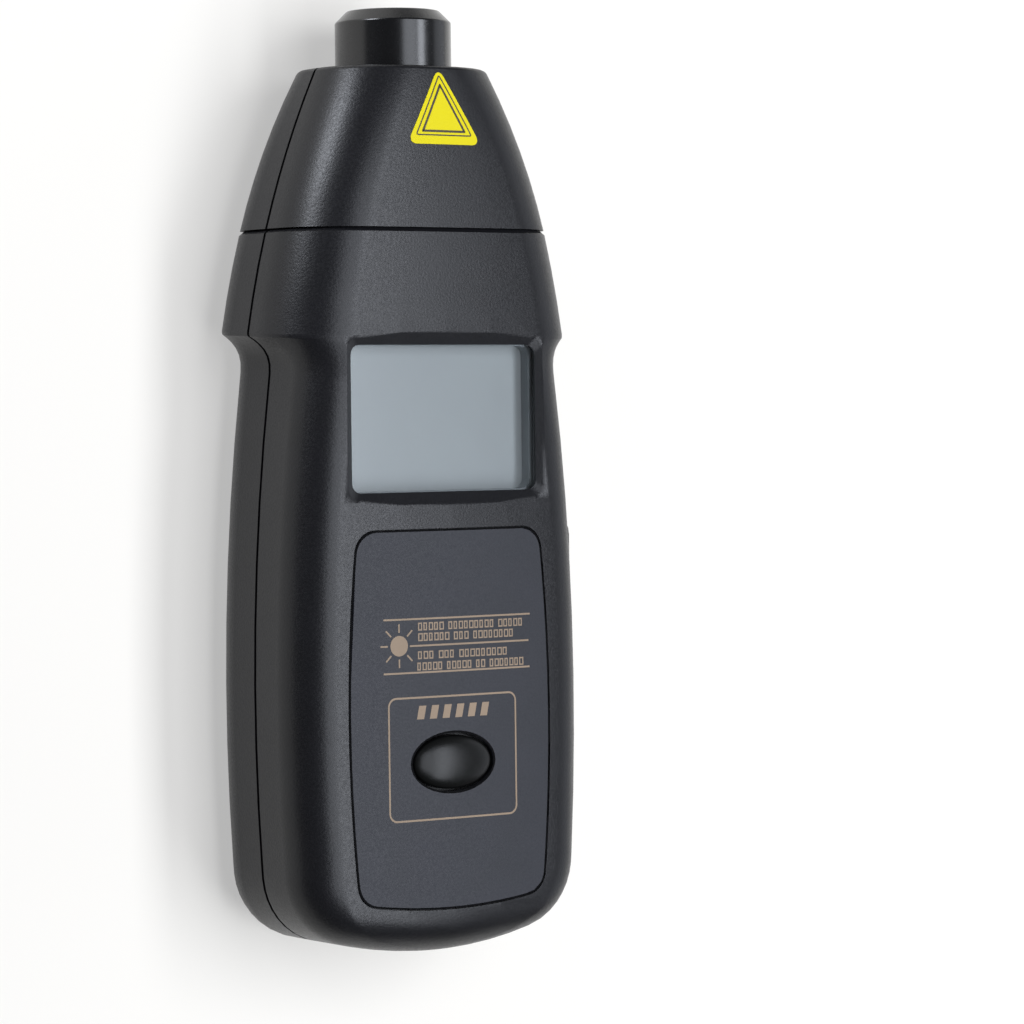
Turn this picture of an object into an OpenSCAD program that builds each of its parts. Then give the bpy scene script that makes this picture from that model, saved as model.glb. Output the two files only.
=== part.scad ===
// Handheld laser tachometer, lying on its back.
// X runs across the case, Y towards the nose and Z up, out of the display side.
// Lengths along Y are counted from the grip end, and written as "at".

/* [Case] */
// Length from the grip end to the rim of the lens tube
overall_length = 190; // [186:1:196]
// Length of the lens tube outside the nose
tube_reach = 12; // [10:0.5:14]
// Thickness from the back to the crest of the front
case_thickness = 37; // [36.5:0.5:39]
// Height of the parting plane above the back
parting_height = 18.5; // [17.5:0.5:19]
// Wall of the moulded shells
wall = 2.2; // [1.8:0.1:2.4]
// Radius of the crowned front, across the case
crown_radius = 400; // [300:10:600]
// Width and depth of the shadow gap along the parting line
seam_gap = 0.4; // [0.2:0.1:0.6]

/* [Grip] */
// Half width of the grip where it is widest
grip_half_width = 35.3; // [34.3:0.1:36.3]
// Distance of the widest place from the grip end
grip_widest_at = 51; // [45:1:57]
// Radius of the grip's barrel sides, in plan
grip_side_radius = 490; // [440:10:600]
// Radius of the rounded grip end, in plan
end_radius = 93; // [80:1:120]
// Radius of the corners between the sides and the end, in plan
end_corner = 15; // [12:0.5:17]
// Radius of the grip's front edges
grip_front_edge = 8.5; // [6:0.5:9]
// Radius of the grip's rear edges
grip_rear_edge = 11; // [9:0.5:12]

/* [Head] */
// Half width of the head where its side arc is widest
head_half_width = 38.4; // [37.7:0.1:39.1]
// Distance of that widest place below the joint with the nose
head_widest_below = 52; // [49:0.5:55]
// Radius of the head's sides, in plan
head_side_radius = 193; // [180:1:210]
// Length of the head, from the shoulder's ledge to the joint with the nose
head_length = 21.4; // [20:0.1:24]
// Length of the cove under the ledge
cove_length = 9; // [7:0.5:10]
// Length of the rounded lip of the ledge
ledge_round = 0.8; // [0.4:0.1:1.2]
// Lean of the ledge: how much further along the case it lies at the back than at the front
ledge_lean = 1.8; // [0:0.1:2.5]
// Radius of the head's front edges
head_front_edge = 13.5; // [12:0.5:14.5]
// Radius of the head's rear edges
head_rear_edge = 12.5; // [11:0.5:14]

/* [Nose] */
// Length of the nose, from its joint with the grip to its flat top
nose_length = 32.5; // [31:0.5:34]
// Chamfer on the grip's rim that makes the joint's groove
joint_chamfer = 0.9; // [0.5:0.1:1.2]
// Radius of the nose's front and back, seen from the side
nose_profile_radius = 176; // [160:4:220]
// Rounding of the nose's top edge
nose_top_round = 0.8; // [0.4:0.1:1.2]
// Depth of the nose's spigot inside the grip
spigot_depth = 3; // [2:0.5:4]
// Wall of the spigot
spigot_wall = 1.2; // [1:0.1:1.5]

/* [Display] */
// Margin between the grip's widest outline and the display opening, on each side
display_margin = 12.95; // [12.5:0.05:14]
// Height of the display opening
display_height = 29.4; // [28:0.1:30.5]
// Distance of the display's centre below the joint with the nose
display_below = 38.1; // [37.5:0.1:39]
// Corner radius of the display opening
display_corner = 2; // [1:0.5:3]
// Depth of the display opening's edge below the crest of the front
display_depth = 1.7; // [1.4:0.1:2]
// Spread of the pocket's sloping walls for each millimetre of depth
pocket_spread = 1.7; // [1.2:0.1:2]
// Thickness of the clear window
window_thickness = 1.5; // [1:0.1:2]
// Overlap of the window and the opening's edge, on each side
window_overlap = 1; // [0.8:0.1:1.3]
// Thickness of the lip that the window bears against
window_lip = 0.6; // [0.4:0.1:0.8]
// Distance from the window to the liquid crystal panel
lcd_setback = 2.4; // [2:0.1:2.8]
// Thickness of the liquid crystal panel
lcd_thickness = 2.8; // [2.4:0.1:3]

/* [Panel and buttons] */
// Thickness of the inset front panel
panel_thickness = 0.8; // [0.6:0.1:1]
// Distance of the panel's lower edge from the grip end
panel_from = 9.1; // [8:0.1:11]
// Gap between the panel's upper edge and the display opening
panel_gap = 7.4; // [7:0.1:9]
// Margin between the grip's widest outline and the panel's sides
panel_margin = 10.9; // [10:0.1:12]
// Distance of the panel's widest place from the grip end
panel_widest_at = 47; // [42:1:52]
// Radius of the panel's barrel sides
panel_side_radius = 330; // [300:10:500]
// Radius of the panel's rounded lower edge
panel_end_radius = 130; // [100:5:200]
// Corner radius of the panel
panel_corner = 5; // [3:0.5:7]
// Length of the oval memory button
memory_length = 19.2; // [16:0.2:21]
// Height of the oval memory button
memory_height = 11.2; // [9:0.1:13]
// Distance of the memory button's centre from the grip end
memory_at = 38.5; // [36:0.5:42]
// Rise of the memory button's dome above the panel
memory_dome = 1.6; // [1:0.1:2.5]
// Travel of the memory button
memory_travel = 0.8; // [0.5:0.1:1]
// Length of the measuring button on the right side
measure_length = 14; // [12:0.5:16]
// Height of the measuring button
measure_height = 8; // [7:0.5:9]
// Distance of the measuring button's centre below the display's centre
measure_below = 27.4; // [27:0.1:30]
// Rise of the measuring button above the side wall
measure_rise = 1.5; // [1:0.1:2]
// Travel of the measuring button
measure_travel = 0.8; // [0.5:0.1:1]

/* [Optics] */
// Outside diameter of the lens tube
tube_diameter = 23.6; // [22.6:0.1:24.6]
// Chamfer on the lens tube's rim
tube_chamfer = 2.4; // [1.5:0.1:3]
// Diameter of the tube's front aperture
aperture_diameter = 16; // [14:0.5:17]
// Diameter of the laser module
laser_diameter = 6.5; // [6:0.1:7]
// Diameter of the light sensor
sensor_diameter = 5; // [4.5:0.1:5.4]
// Distance between the laser and the sensor, across the tube
optics_spacing = 8.8; // [8.4:0.1:9.2]

/* [Power] */
// Length of the block battery, without its terminals
battery_length = 46.4; // [45:0.1:47]
// Width of the block battery
battery_width = 26.5; // [25:0.5:27]
// Thickness of the block battery
battery_thickness = 17.5; // [16.5:0.1:17.6]
// Half width of the battery cover
cover_half_width = 16; // [15:0.5:17]
// Distance of the battery cover's upper edge from the grip end
cover_to = 65; // [64:0.5:68]

/* [Electronics] */
// Thickness of the circuit boards
board_thickness = 1.6; // [1.2:0.1:1.6]
// Margin between the grip's widest outline and the main board, beside the display
board_margin = 9.3; // [8.8:0.1:9.7]
// Margin between the grip's widest outline and the main board, under the panel
waist_margin = 13.8; // [13.3:0.1:14.8]

/* [Fits] */
// Gap round pieces that move in the case
running_gap = 0.3; // [0.2:0.05:0.4]
// Gap round pieces that are fixed in their seats
seat_gap = 0.15; // [0.1:0.05:0.2]

/* [Hidden] */

case_length = overall_length - tube_reach;
y_end = -overall_length / 2;
joint_at = case_length - nose_length;
shoulder_at = joint_at - head_length;
head_widest_at = joint_at - head_widest_below;
display_at = joint_at - display_below;
display_width = 2 * (grip_half_width - display_margin);
panel_to = display_at - display_height / 2 - panel_gap;
panel_half_width = grip_half_width - panel_margin;
measure_at = display_at - measure_below;
board_half_width = grip_half_width - board_margin;
board_waist = grip_half_width - waist_margin;
// Steps of the round edges, of the crown and of round outlines
edge_steps = 9;
crown_steps = 4;
inner_steps = 4;
oval_steps = 36;
// A cut reaches this far past the face that it opens, and the thinnest slice of a hull is this thick
over = 1;
layer = 0.05;

// Plan outline
// Centres of the arcs, as [x, distance from the grip end]
grip_centre = [grip_half_width - grip_side_radius, grip_widest_at];
end_centre = [0, end_radius];
head_centre = [head_half_width - head_side_radius, head_widest_at];

// The crossing of two circles that lies furthest along +X
function circles_meet(c1, r1, c2, r2) =
    let (span = norm(c2 - c1), along = (c2 - c1) / span,
        reach = (r1 * r1 - r2 * r2 + span * span) / (2 * span),
        aside = sqrt(r1 * r1 - reach * reach), foot = c1 + reach * along,
        p = foot + aside * [along[1], -along[0]], q = foot - aside * [along[1], -along[0]])
    p[0] > q[0] ? p : q;
function unit(v) = v / norm(v);

corner_centre = circles_meet(grip_centre, grip_side_radius - end_corner,
    end_centre, end_radius - end_corner);
side_tangent = unit(corner_centre - grip_centre);
end_tangent = unit(corner_centre - end_centre);

// Half width of an arc's chord at a distance from the grip end
function chord_x(centre, radius, at) = centre[0] + sqrt(max(0, radius * radius - pow(at - centre[1], 2)));

// Half width of the grip's outline, drawn in by inset
function grip_x(at, inset) =
    at > corner_centre[1] + (end_corner - inset) * side_tangent[1]
        ? chord_x(grip_centre, grip_side_radius - inset, at)
    : at > corner_centre[1] + (end_corner - inset) * end_tangent[1]
        ? chord_x(corner_centre, end_corner - inset, at)
    : chord_x(end_centre, end_radius - inset, at);
function head_x(at, inset) = chord_x(head_centre, head_side_radius - inset, at);

// Share of the head in the section: none on the grip, rising through the cove to the ledge
lip_share = 0.95;
cove_power = 3.2;
function head_share(at) =
    let (rise = (at - shoulder_at + cove_length) / cove_length, lip = (at - shoulder_at) / ledge_round)
    rise <= 0 ? 0 : rise < 1 ? lip_share * pow(rise, cove_power)
    : lip < 1 ? 1 - (1 - lip_share) * pow(1 - lip, 2) : 1;
function mix(a, b, share) = a + (b - a) * share;
function half_width(at, inset) = mix(grip_x(at, inset), head_x(at, inset), head_share(at - inset));

// Distance of a point in plan from the outline
function cross2(a, b) = a[0] * b[1] - a[1] * b[0];
function grip_edge(p) =
    let (v = p - corner_centre)
    cross2(side_tangent, v) < 0 && cross2(v, end_tangent) < 0 ? end_corner - norm(v)
    : min(grip_side_radius - norm(p - grip_centre), end_radius - norm(p - end_centre));
function edge_distance(x, at, inset) =
    let (p = [abs(x), at])
    mix(grip_edge(p), head_side_radius - norm(p - head_centre), head_share(at - inset)) - inset;

// Surfaces of the case
// Fall of a round edge at a distance inside the outline, which is flat over its last bit
edge_tail = 0.2;
function edge_drop(distance, radius) =
    let (short = radius - max(0, distance))
    short < edge_tail ? 0 : radius - sqrt(radius * radius - short * short);
// How far the nose falls back from the plane of the front, and from that of the back
function nose_fall(at) =
    at < joint_at ? 0 : nose_profile_radius - sqrt(pow(nose_profile_radius, 2) - pow(at - joint_at, 2));
function front_edge(at, inset) = mix(grip_front_edge, head_front_edge, head_share(at - inset)) - inset;
function rear_edge(at, inset) = mix(grip_rear_edge, head_rear_edge, head_share(at - inset)) - inset;
function front_z(x, at, inset) =
    case_thickness - crown_radius + sqrt(pow(crown_radius - inset, 2) - x * x) - nose_fall(at)
    - edge_drop(edge_distance(x, at, inset), front_edge(at, inset));
function rear_z(x, at, inset) =
    inset + nose_fall(at) + edge_drop(edge_distance(x, at, inset), rear_edge(at, inset));

// Places across a half section, from its side to its middle
function across(at, inset, radius, steps) =
    let (a = half_width(at, inset), e = min(radius, 0.8 * a))
    concat([for (k = [0:steps]) a - e * (1 - cos(90 * k / steps))],
        [for (k = [1:crown_steps / 2 - 1]) (a - e) * (1 - 2 * k / crown_steps)]);
function mirrored(list) = [for (k = [len(list) - 1:-1:0]) list[k]];
// The lean is full at the ledge and fades out towards the joint and down the grip
lean_zone = 2.5 * cove_length;
function lean_share(at) =
    let (zone = at < shoulder_at ? lean_zone : head_length - joint_chamfer)
    max(0, 1 - abs(at - shoulder_at) / zone);
function leaned(p) =
    [p[0], y_end + p[1] + ledge_lean * lean_share(p[1]) * (parting_height - p[2]) / case_thickness, p[2]];
// A whole section from its right half and its middle, all as [x, distance from the grip end, z]
function both_sides(half, middle) =
    [for (p = concat(half, [middle], [for (q = mirrored(half)) [-q[0], q[1], q[2]]])) leaned(p)];

// Sections of the two halves, from the right parting edge over to the left one
function front_section(at, inset) =
    let (a = half_width(at, inset), step = parting_height + seam_gap)
    both_sides(concat([[a - seam_gap, at, parting_height], [a - seam_gap, at, step], [a, at, step]],
        [for (x = across(at, inset, front_edge(at, inset), edge_steps)) [x, at, front_z(x, at, inset)]]),
        [0, at, front_z(0, at, inset)]);
function rear_section(at, inset) =
    both_sides(concat([[half_width(at, inset), at, parting_height]],
        [for (x = across(at, inset, rear_edge(at, inset), edge_steps)) [x, at, rear_z(x, at, inset)]]),
        [0, at, rear_z(0, at, inset)]);
// Plainer sections of the hollows and the spigot, which start at a level of their own
function front_hollow(at, inset, from) =
    both_sides(concat([[half_width(at, inset), at, from]],
        [for (x = across(at, inset, front_edge(at, inset), inner_steps)) [x, at, front_z(x, at, inset)]]),
        [0, at, front_z(0, at, inset)]);
function rear_hollow(at, inset, from) =
    both_sides(concat([[half_width(at, inset), at, from]],
        [for (x = across(at, inset, rear_edge(at, inset), inner_steps)) [x, at, rear_z(x, at, inset)]]),
        [0, at, rear_z(0, at, inset)]);

// A solid skinned over sections, each an open row of points closed by a straight chord
module lofted(sections, turn) {
    n = len(sections);
    m = len(sections[0]);
    c = (m - 1) / 2;
    last = (n - 1) * m;
    function face(a, b, d) = turn ? [a, b, d] : [a, d, b];
    polyhedron([for (s = sections) each s], concat(
        [for (j = [0:n - 2], k = [0:m - 2]) let (a = j * m + k, b = a + m)
            each [face(a, b, b + 1), face(a, b + 1, a + 1)]],
        [for (j = [0:n - 2]) let (a = j * m, b = a + m)
            each [face(a, a + m - 1, b + m - 1), face(a, b + m - 1, b)]],
        [for (k = [0:m - 1]) let (q = (k + 1) % m) if (k != c && q != c) each
            [face(c, k, q), face(last + c, last + q, last + k)]]));
}

// Stations along the grip: close together at its round end, in the cove and at the joint
// The first station stands this far off the tip of the grip end
end_skip = 0.02;
end_zone = end_corner + 3;
cove_from = shoulder_at - cove_length;
end_steps = 13;
end_stations = [for (k = [0:end_steps]) end_skip + (end_zone - end_skip) * (1 - cos(90 * k / end_steps))];
barrel_steps = 8;
barrel_stations = [for (k = [1:barrel_steps]) mix(end_zone, cove_from, k / barrel_steps)];
cove_steps = 8;
cove_stations = [for (k = [1:cove_steps]) cove_from + cove_length * sin(90 * k / cove_steps)];
ledge_stations = [shoulder_at + ledge_round / 2, shoulder_at + ledge_round];
head_stations = [for (k = [1:3]) mix(shoulder_at + ledge_round, joint_at - joint_chamfer, k / 3)];
grip_stations = concat(end_stations, barrel_stations, cove_stations, ledge_stations, head_stations);
grip_rim = [joint_at, joint_chamfer];
hollow_stations = concat([for (k = [0:5]) wall + end_skip + end_zone * (1 - cos(90 * k / 5))],
    [for (k = [1:3]) mix(end_zone + wall, cove_from, k / 3)],
    [for (k = [1:5]) cove_from + wall + (cove_length + ledge_round) * k / 5],
    [joint_at - spigot_depth - 5, joint_at + over]);

// Stations along the nose, from the joint to the top, as [distance, inset]
nose_stations = concat([for (k = [0:6]) [mix(joint_at, case_length - nose_top_round, k / 6), 0]],
    [for (k = [1:3]) [case_length - nose_top_round * (1 - sin(30 * k)), nose_top_round * (1 - cos(30 * k))]]);
spigot_inset = wall + seat_gap;
spigot_stations = [for (at = [joint_at - spigot_depth, joint_at + over]) [at, spigot_inset]];
nose_wall_inner = case_length - wall - nose_top_round / 2;
nose_hollows = concat(
    [for (at = [joint_at - spigot_depth - over, joint_at + over]) [at, spigot_inset + spigot_wall]],
    [for (k = [0:4]) [mix(joint_at + 3, nose_wall_inner, k / 4), wall]]);

// Places of the fixings, as [x, distance from the grip end]
grip_screw_at = end_corner + 2;
grip_screw_x = grip_half_width - 9;
head_screw_at = joint_at - 10;
head_screw_x = half_width(head_screw_at, 0) - 6.6;
nose_screw_at = joint_at + 12;
nose_screw_x = half_width(nose_screw_at, 0) - 8.5;
function on_both_sides(x, at) = [[-x, at], [x, at]];
body_screws = concat(on_both_sides(grip_screw_x, grip_screw_at), on_both_sides(head_screw_x, head_screw_at));
nose_screws = on_both_sides(nose_screw_x, nose_screw_at);
board_from = 14;
board_to = joint_at - 14.5;
board_edge = 3;
board_fixings = concat(on_both_sides(board_waist - board_edge, board_from + board_edge),
    on_both_sides(board_half_width - board_edge, board_to - board_edge));

// Fasteners
screw_shank = 2.5;
screw_head = 5;
screw_head_height = 2;
screw_bite = 8;
screw_boss = 6.4;
screw_gap = 0.1;
head_pocket = 5.8;
pocket_level = parting_height - 5;
small_shank = 2;
small_head = 4;
small_head_height = 1.3;
small_bite = 5;
small_post = 5;
// Widening of the moulded posts over their length
post_draft = 0.6;

// Levels of the display stack and the boards
pocket_floor = case_thickness - display_depth;
window_top = pocket_floor - window_lip;
window_bottom = window_top - window_thickness;
lcd_top = window_bottom - lcd_setback;
lcd_bottom = lcd_top - lcd_thickness;
connector_height = 3;
board_top = lcd_bottom - connector_height;
board_bottom = board_top - board_thickness;
window_width = display_width + 2 * window_overlap;
window_height = display_height + 2 * window_overlap;
rim = 1.6;
rim_bottom = window_bottom - 1.6;

// Flat outlines
function corner_arc(x, y, radius, from) =
    [for (k = [0:4]) [x + radius * cos(from + 22.5 * k), y + radius * sin(from + 22.5 * k)]];
function rounded_outline(w, h, r) = concat(
    corner_arc(w / 2 - r, h / 2 - r, r, 0), corner_arc(r - w / 2, h / 2 - r, r, 90),
    corner_arc(r - w / 2, r - h / 2, r, 180), corner_arc(w / 2 - r, r - h / 2, r, 270));
function oval_outline(w, h) =
    [for (k = [0:oval_steps - 1]) [w / 2 * cos(360 * k / oval_steps), h / 2 * sin(360 * k / oval_steps)]];

module at_place(x, at, z) translate([x, y_end + at, z]) children();
module rounded_plate(w, h, r, t) linear_extrude(t) polygon(rounded_outline(w, h, r));
module oval_plate(w, h, t) linear_extrude(t) polygon(oval_outline(w, h));
module box_between(x, at, z)
    translate([x[0], y_end + at[0], z[0]]) cube([x[1] - x[0], at[1] - at[0], z[1] - z[0]]);
module both_hands() {
    children();
    mirror([1, 0, 0]) children();
}
// Lays a solid of revolution about Z along the tube's axis, its height along Y
module along_tube() translate([0, y_end, parting_height]) rotate([-90, 0, 0]) children();
// A round bar along the tube's axis, beside it by x
module tube_bar(x, diameter, at)
    along_tube() translate([x, 0, at[0]]) cylinder(d = diameter, h = at[1] - at[0], $fn = 48);

// Outline of the front panel: barrel sides, a straight upper edge and a rounded lower one
module panel_outline(grow) {
    rows = 10;
    side_centre = [panel_half_width - panel_side_radius, panel_widest_at];
    lower_centre = [0, panel_from + panel_end_radius];
    foot = circles_meet(side_centre, panel_side_radius + grow, lower_centre, panel_end_radius + grow);
    right = [for (k = [0:rows]) let (at = mix(foot[1], panel_to + grow, k / rows))
        [chord_x(side_centre, panel_side_radius + grow, at), y_end + at]];
    lower = [for (k = [1 - rows:rows - 1]) let (x = foot[0] * k / rows)
        [x, y_end + lower_centre[1] - sqrt(pow(panel_end_radius + grow, 2) - x * x)]];
    offset(r = panel_corner, $fn = 32) offset(delta = -panel_corner)
        polygon(concat(lower, right, [for (p = mirrored(right)) [-p[0], p[1]]]));
}
// The layer of the crowned front between two depths
module crown_layer(from, to) {
    steps = 12;
    reach = grip_half_width - 1;
    function crown_row(depth) = [for (k = [-steps:steps]) let (x = reach * k / steps)
        [x, case_thickness - crown_radius + sqrt(pow(crown_radius - depth, 2) - x * x)]];
    translate([0, y_end + case_length, 0]) rotate([90, 0, 0]) linear_extrude(case_length)
        polygon(concat(crown_row(from), mirrored(crown_row(to))));
}

// Case shells
case_black = "#2b2b2e";

// A drafted post that stands on the front wall and reaches down to a level
module front_post(place, diameter, from) {
    top = front_z(abs(place[0]) + diameter / 2, place[1], wall / 2);
    hull() {
        at_place(place[0], place[1], from) cylinder(d = diameter, h = 0.1, $fn = 24);
        at_place(place[0], place[1], top - 0.1) cylinder(d = diameter + post_draft, h = 0.1, $fn = 24);
    }
}
// A drafted post that stands on the rear wall and reaches up to the parting plane
module rear_post(place) {
    bottom = rear_z(abs(place[0]) + head_pocket / 2, place[1], wall / 2);
    hull() {
        at_place(place[0], place[1], bottom) cylinder(d = head_pocket + 3.2, h = 0.1, $fn = 24);
        at_place(place[0], place[1], parting_height - 0.1) cylinder(d = screw_boss, h = 0.1, $fn = 24);
    }
}
module front_bore(place)
    at_place(place[0], place[1], parting_height - over)
    cylinder(d = screw_shank + 2 * screw_gap, h = screw_bite + over, $fn = 20);
module rear_bore(place) {
    at_place(place[0], place[1], -over)
        cylinder(d = head_pocket, h = pocket_level + over, $fn = 24);
    at_place(place[0], place[1], 0)
        cylinder(d = screw_shank + 2 * running_gap, h = parting_height + over, $fn = 20);
}

// The measuring button's stadium outline, as a bar along X
module side_stadium(length, height, x)
    translate([x[0], y_end + measure_at, measure_z]) rotate([90, 0, 90]) linear_extrude(x[1] - x[0])
    polygon(rounded_outline(length, height, height / 2 - layer));
measure_z = board_top - 0.5;
measure_wall = half_width(measure_at, 0);

module body_front() color(case_black) difference() {
    union() {
        difference() {
            lofted(concat([for (at = grip_stations) front_section(at, 0)],
                [front_section(grip_rim[0], grip_rim[1])]), false);
            lofted([for (at = hollow_stations) front_hollow(at, wall, parting_height - over)], false);
        }
        at_place(0, display_at, rim_bottom) rounded_plate(window_width + 2 * rim, window_height + 2 * rim,
            display_corner + rim, pocket_floor - rim_bottom);
        for (place = body_screws) front_post(place, screw_boss, parting_height);
        for (place = board_fixings) front_post(place, small_post, board_top);
    }
    display_pocket();
    intersection() {
        crown_layer(-over, panel_thickness);
        translate([0, 0, case_thickness / 2]) linear_extrude(case_thickness) panel_outline(seat_gap);
    }
    at_place(0, memory_at, case_thickness - 2 * wall)
        oval_plate(memory_length + 2 * running_gap, memory_height + 2 * running_gap, 2 * wall + over);
    side_stadium(measure_length + 2 * running_gap, measure_height + 2 * running_gap,
        [measure_wall - 2 * wall, measure_wall + over]);
    for (place = body_screws) front_bore(place);
    for (place = board_fixings) at_place(place[0], place[1], board_top - over)
        cylinder(d = small_shank + 2 * screw_gap, h = small_bite + over, $fn = 16);
}
// The display opening with its sloping walls, and the seat of the window behind it
module display_pocket() {
    rise = display_depth + over;
    spread = 2 * pocket_spread * rise;
    at_place(0, display_at, pocket_floor)
        linear_extrude(rise, scale = [1 + spread / display_width, 1 + spread / display_height])
        polygon(rounded_outline(display_width, display_height, display_corner));
    at_place(0, display_at, window_top - over)
        rounded_plate(display_width, display_height, display_corner, window_lip + over + 0.01);
    at_place(0, display_at, rim_bottom - over) rounded_plate(window_width + 2 * seat_gap,
        window_height + 2 * seat_gap, display_corner, window_top - rim_bottom + over);
}

// Battery compartment
bay_half_width = cover_half_width + 0.6;
bay_wall = 1.5;
bay_from = 6;
battery_from = grip_rear_edge - 1.4;
battery_to = battery_from + battery_length;
battery_bottom = wall + 0.7;
battery_top = battery_bottom + battery_thickness;
snap_length = 6;
snap_to = battery_to + snap_length;
bay_to = cover_to - 1.5;
ceiling_bottom = battery_top + running_gap;
ceiling_top = ceiling_bottom + 1;
cover_turn_at = grip_rear_edge + 4;
cover_end_height = 9;
tongue_bottom = 1.3;
tongue_reach = 1.6;
tongue_from = cover_turn_at + 2;
tongue_to = cover_to - 3;
lead_x = 4;
lead_diameter = 1.4;
lead_slot = 2;
gusset_foot = 7;
gusset_thickness = 1.2;
gussets_at = [22, 44];
lead_z = battery_bottom + battery_thickness / 2;

// The space of the battery cover's shell: flat along the back, and turned up at the grip end
module cover_space(gap) {
    sides = [-1, 1] * (cover_half_width + gap);
    box_between(sides, [-over, cover_turn_at + gap], [-over, cover_end_height + gap]);
    box_between(sides, [cover_turn_at - over, cover_to + gap], [-over, wall + gap]);
}
module body_rear() color(case_black) difference() {
    union() {
        difference() {
            lofted(concat([for (at = grip_stations) rear_section(at, 0)],
                [rear_section(grip_rim[0], grip_rim[1])]), true);
            lofted([for (at = hollow_stations) rear_hollow(at, wall, parting_height + over)], true);
        }
        for (place = body_screws) rear_post(place);
        both_hands() for (at = gussets_at) bay_gusset(at);
        battery_bay();
    }
    for (place = body_screws) rear_bore(place);
    // Opening of the battery cover, with the grooves that its tongues run in
    cover_space(running_gap);
    box_between([-1, 1] * (cover_half_width + tongue_reach + running_gap), [-over, tongue_to + running_gap],
        [tongue_bottom - running_gap / 2, wall + running_gap]);
}
module battery_bay() {
    sides = [-1, 1] * (bay_half_width + 0.1);
    both_hands() box_between([bay_half_width, bay_half_width + bay_wall], [bay_from, cover_to],
        [wall / 2, ceiling_top]);
    difference() {
        box_between(sides, [bay_to, cover_to], [wall + 2 * running_gap, ceiling_top]);
        box_between([-1, 1] * (lead_x + lead_slot), [bay_to - over, cover_to + over],
            [lead_z - lead_slot, ceiling_bottom]);
    }
    box_between(sides, [bay_from, bay_to + 0.1], [ceiling_bottom, ceiling_top]);
}
// A triangular rib that stiffens the bay's side wall
module bay_gusset(at) hull() {
    inner = bay_half_width + bay_wall / 2;
    along = [at, at + gusset_thickness];
    box_between([inner, bay_half_width + bay_wall], along, [wall / 2, parting_height - 2]);
    box_between([inner, bay_half_width + gusset_foot], along, [wall / 2, wall + running_gap]);
}

module battery_cover() color(case_black) difference() {
    union() {
        intersection() {
            difference() {
                lofted([for (at = concat(end_stations, cover_stations)) rear_section(at, 0)], true);
                lofted([for (at = concat(end_hollows, cover_stations))
                    rear_hollow(at, wall, parting_height + over)], true);
            }
            cover_space(0);
        }
        box_between([-1, 1] * (cover_half_width + tongue_reach), [tongue_from, tongue_to],
            [tongue_bottom, wall]);
    }
    // Grooves for the thumb
    for (k = [0:3]) at_place(-thumb_width / 2, cover_to - thumb_below - 2 * thumb_groove * k, 0)
        rotate([0, 90, 0]) cylinder(d = thumb_groove, h = thumb_width, $fn = 4);
}
thumb_width = 18;
thumb_below = 8;
thumb_groove = 1.2;
// Stations of the cover past the round end, and of the hollow in that end
cover_stations = [mix(end_zone, cover_to, 0.5), cover_to + over];
end_hollows = [for (at = hollow_stations) if (at < end_zone + wall) at];

// Nose
module nose_front() color(case_black) difference() {
    union() {
        lofted([for (s = nose_stations) front_section(s[0], s[1])], false);
        lofted([for (s = spigot_stations) front_hollow(s[0], s[1], parting_height)], false);
    }
    difference() {
        lofted([for (s = nose_hollows) front_hollow(s[0], s[1], parting_height - over)], false);
        for (place = nose_screws) front_post(place, screw_boss, parting_height);
        nose_rib();
    }
    for (place = nose_screws) front_bore(place);
    tube_hole();
}
module nose_rear() color(case_black) difference() {
    union() {
        lofted([for (s = nose_stations) rear_section(s[0], s[1])], true);
        lofted([for (s = spigot_stations) rear_hollow(s[0], s[1], parting_height)], true);
    }
    difference() {
        lofted([for (s = nose_hollows) rear_hollow(s[0], s[1], parting_height + over)], true);
        for (place = nose_screws) rear_post(place);
        nose_rib();
    }
    for (place = nose_screws) rear_bore(place);
    tube_hole();
}
// The rib that holds the lens tube's inner end
module nose_rib()
    box_between([-1, 1] * head_half_width, [tube_from + 2, tube_from + 4], [-over, case_thickness + over]);
module tube_hole() tube_bar(0, 2 * (neck_radius + seat_gap), [tube_from - 10, case_length + over]);

// Optics
// Lengths of the tube's root in the nose, of its flange, of its front lip and of the lens ring
tube_root = 13;
flange_thickness = 2.5;
lip_length = 3;
ring_length = 3;
tube_from = case_length - tube_root;
// The tube's neck in the nose is a little thinner than the tube, whose shoulder stands off the nose
neck_radius = tube_diameter / 2 - 0.4;
neck_to = case_length + running_gap;
flange_radius = tube_diameter / 2 + 1.4;
flange_to = nose_wall_inner - seat_gap;
flange_from = flange_to - flange_thickness;
bore_radius = tube_diameter / 2 - 2;
lip_from = overall_length - lip_length;
bore_gap = 0.1;

module lens_tube() color("#1c1c1f") along_tube() rotate_extrude($fn = 96) polygon([
    [bore_radius, tube_from], [neck_radius, tube_from], [neck_radius, flange_from],
    [flange_radius, flange_from], [flange_radius, flange_to], [neck_radius, flange_to],
    [neck_radius, neck_to], [tube_diameter / 2, neck_to], [tube_diameter / 2, overall_length - tube_chamfer],
    [tube_diameter / 2 - tube_chamfer, overall_length],
    [aperture_diameter / 2 + 0.8, overall_length], [aperture_diameter / 2, overall_length - 1],
    [aperture_diameter / 2, lip_from], [bore_radius, lip_from]]);

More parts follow.
